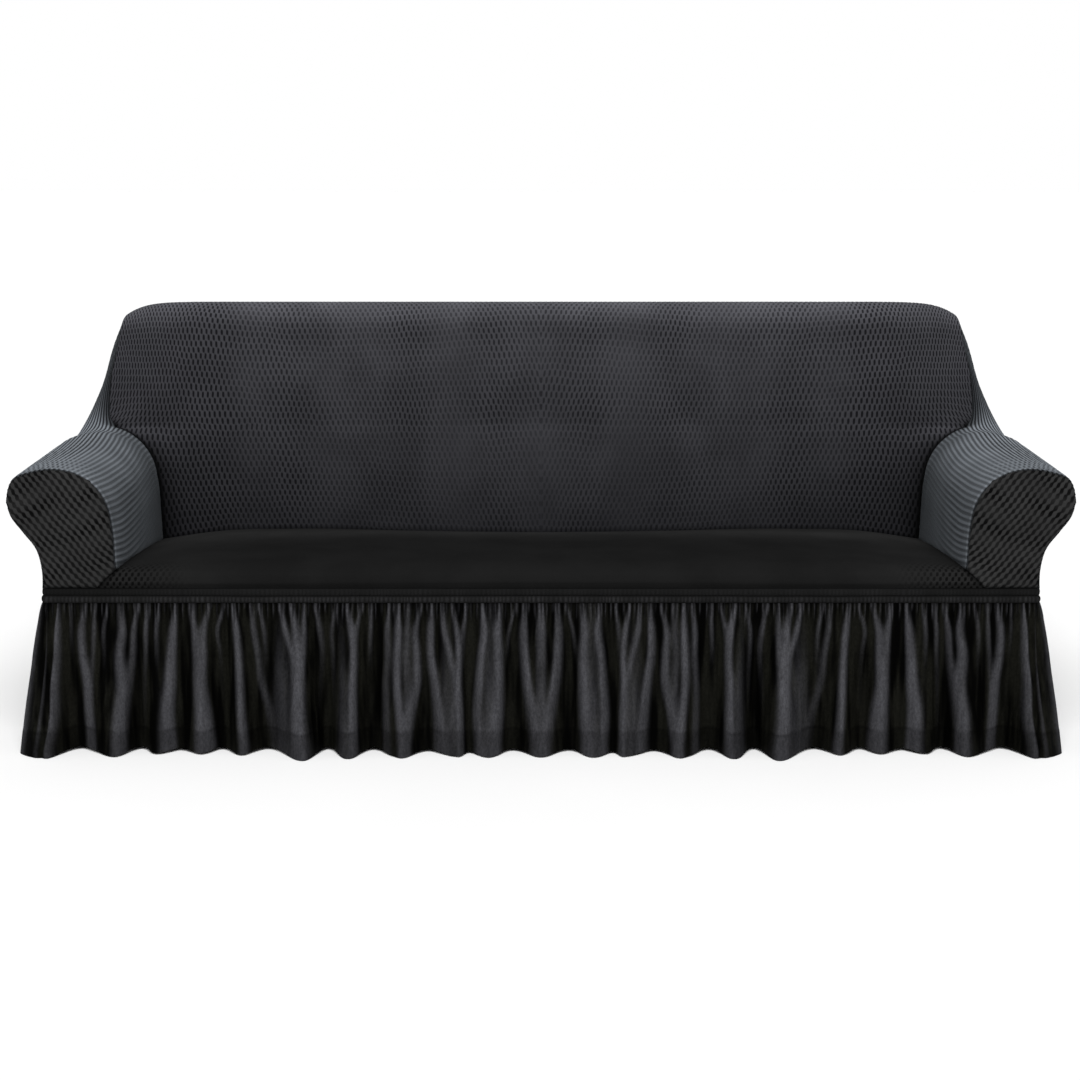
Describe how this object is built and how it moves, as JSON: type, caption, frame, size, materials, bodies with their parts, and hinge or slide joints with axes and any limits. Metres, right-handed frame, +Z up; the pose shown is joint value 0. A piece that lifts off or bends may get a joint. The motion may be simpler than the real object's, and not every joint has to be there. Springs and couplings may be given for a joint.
{
  "type": "fitted sofa slipcover with gathered skirt",
  "caption": "Fitted stretch-knit slipcover for a rolled-arm sofa, with arm and back panels, a shirred elastic waistband and a gathered skirt to the floor; hollow and open underneath.",
  "frame": {"origin": "on the floor, under the middle of the cover's bounding box", "axes": "+X along the cover's length, to the right as seen from the front, -Y to the front, +Z up"},
  "size_m": [2.1988, 1.004, 0.8743],
  "materials": {
    "panel_knit": "charcoal stretch knit with small raised honeycomb cells, matt",
    "seat_knit": "near-black knit stretched smooth, matt",
    "elastic_band": "near-black shirred elastic, matt",
    "skirt_cloth": "black fine plain cloth, slightly sheer, soft sheen"
  },
  "bodies": {
    "root": {"inside_back": "panel_knit", "outside_back": "panel_knit", "seat": "seat_knit", "arm_left": "panel_knit", "arm_right": "panel_knit", "arm_front_left": "panel_knit", "arm_front_right": "panel_knit", "band_front": "elastic_band", "band_right": "elastic_band", "band_back": "elastic_band", "band_left": "elastic_band", "skirt_front": "skirt_cloth", "skirt_right": "skirt_cloth", "skirt_back": "skirt_cloth", "skirt_left": "skirt_cloth"}
  },
  "joints": []
}
